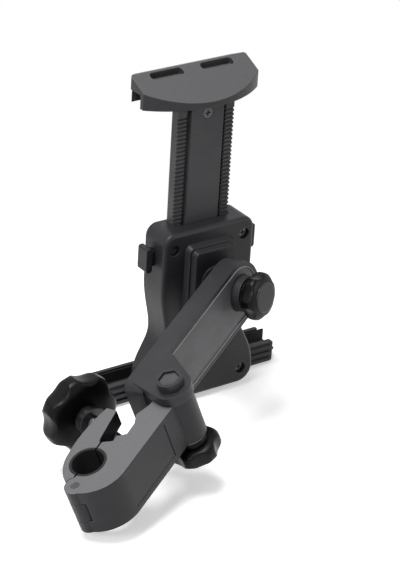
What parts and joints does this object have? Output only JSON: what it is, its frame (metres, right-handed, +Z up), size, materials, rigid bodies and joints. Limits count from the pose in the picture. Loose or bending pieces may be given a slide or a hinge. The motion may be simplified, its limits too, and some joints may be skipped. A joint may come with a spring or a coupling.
{
  "type": "tablet holder",
  "caption": "Adjustable tablet holder: a cradle with a sliding top jaw on a ball-jointed folding arm with a hinged pole clamp tightened by a knob.",
  "frame": {"origin": "middle of the cradle's padded face, where the tablet's back rests", "axes": "+Z up along the cradle's slide, +Y out of the padded face towards the tablet, +X across the cradle"},
  "size_m": [0.2189, 0.1434, 0.2015],
  "materials": {
    "housing_plastic": "satin",
    "jaw_plastic": "satin",
    "slide_plastic": "satin",
    "arm_plastic": "satin",
    "clamp_plastic": "satin",
    "knob_plastic": "fine grained",
    "soft_rubber": "matt",
    "dark_steel": "blackened",
    "brass_insert": "turned",
    "cup_plastic": "matt"
  },
  "bodies": {
    "clamp": {"clamp_body": "clamp_plastic", "clamp_panel": "clamp_plastic", "clamp_pad": "soft_rubber", "jaw_hinge_pin": "dark_steel", "barrel_nut": "dark_steel"},
    "clamp_jaw": {"clamp_jaw": "clamp_plastic", "jaw_pad": "soft_rubber"},
    "clamp_washer": {"clamp_washer": "dark_steel"},
    "clamp_knob": {"clamp_knob": "knob_plastic", "clamp_screw": "dark_steel"},
    "arm": {"arm_body": "arm_plastic", "arm_cover": "arm_plastic", "joint_bush": "brass_insert", "pivot_bolt": "dark_steel"},
    "pivot_knob": {"pivot_knob": "knob_plastic", "pivot_insert": "brass_insert", "pivot_washer": "dark_steel"},
    "arm_knob": {"arm_knob": "knob_plastic", "arm_knob_cap": "knob_plastic", "arm_knob_screw": "dark_steel"},
    "ball_cup": {"ball_cup": "cup_plastic"},
    "ball_stud": {"ball_stud": "dark_steel"},
    "cradle": {"rear_housing": "housing_plastic", "front_plate": "housing_plastic", "tablet_pad": "soft_rubber", "bottom_jaw": "housing_plastic", "bottom_jaw_strip": "soft_rubber", "housing_screws": "dark_steel"},
    "slide": {"slide_bar": "slide_plastic", "top_jaw": "jaw_plastic", "top_jaw_pad": "soft_rubber", "top_jaw_screw": "dark_steel"},
    "button_left": {"release_button_left": "housing_plastic"},
    "button_right": {"release_button_right": "housing_plastic"}
  },
  "joints": [
    {"name": "clamp_jaw_swing", "type": "hinge", "parent": "clamp", "child": "clamp_jaw", "pos_m": [-0.13999, -0.11376, -0.03565], "axis": [-0.3795, 0, 0.9252], "range_deg": [0, 11]},
    {"name": "clamp_screw_travel", "type": "slide", "parent": "clamp", "child": "clamp_washer", "axis": [-0.0376, 0.9992, -0.0154], "range_m": [0, 0.00807]},
    {"name": "clamp_knob_turn", "type": "hinge", "parent": "clamp_washer", "child": "clamp_knob", "pos_m": [-0.10327, -0.07892, -0.02059], "axis": [-0.0376, 0.9992, -0.0154], "continuous": true},
    {"name": "arm_fold", "type": "hinge", "parent": "clamp", "child": "arm", "pos_m": [-0.0705, -0.09946, -0.00391], "axis": [-0.3795, 0, 0.9252], "range_deg": [-110, 5]},
    {"name": "pivot_knob_turn", "type": "hinge", "parent": "arm", "child": "pivot_knob", "pos_m": [-0.0705, -0.09946, -0.00391], "axis": [-0.3795, 0, 0.9252], "continuous": true},
    {"name": "arm_knob_turn", "type": "hinge", "parent": "arm", "child": "arm_knob", "pos_m": [0, -0.043, 0.025], "axis": [0.3541, -0.9239, 0.1452], "continuous": true},
    {"name": "ball_turn", "type": "hinge", "parent": "arm", "child": "ball_cup", "pos_m": [0, -0.043, 0.025], "axis": [0.3541, -0.9239, 0.1452], "range_deg": [-25, 25]},
    {"name": "ball_tilt", "type": "hinge", "parent": "ball_cup", "child": "ball_stud", "pos_m": [0, -0.043, 0.025], "axis": [-0.3795, 0, 0.9252], "range_deg": [-6, 6]},
    {"name": "cradle_swivel", "type": "hinge", "parent": "ball_stud", "child": "cradle", "pos_m": [0, -0.043, 0.025], "axis": [0, -1, 0], "continuous": true},
    {"name": "jaw_slide", "type": "slide", "parent": "cradle", "child": "slide", "axis": [0, 0, 1], "range_m": [-0.06, 0.01]},
    {"name": "button_left_press", "type": "slide", "parent": "cradle", "child": "button_left", "axis": [1, 0, 0], "range_m": [0, 0.0025], "stiffness_N_per_m": 600},
    {"name": "button_right_press", "type": "slide", "parent": "cradle", "child": "button_right", "axis": [-1, 0, 0], "range_m": [0, 0.0025], "stiffness_N_per_m": 600}
  ],
  "couplings": [
    {"joint": "clamp_screw_travel", "follows": "clamp_jaw_swing", "m_per_rad": 0.041}
  ]
}
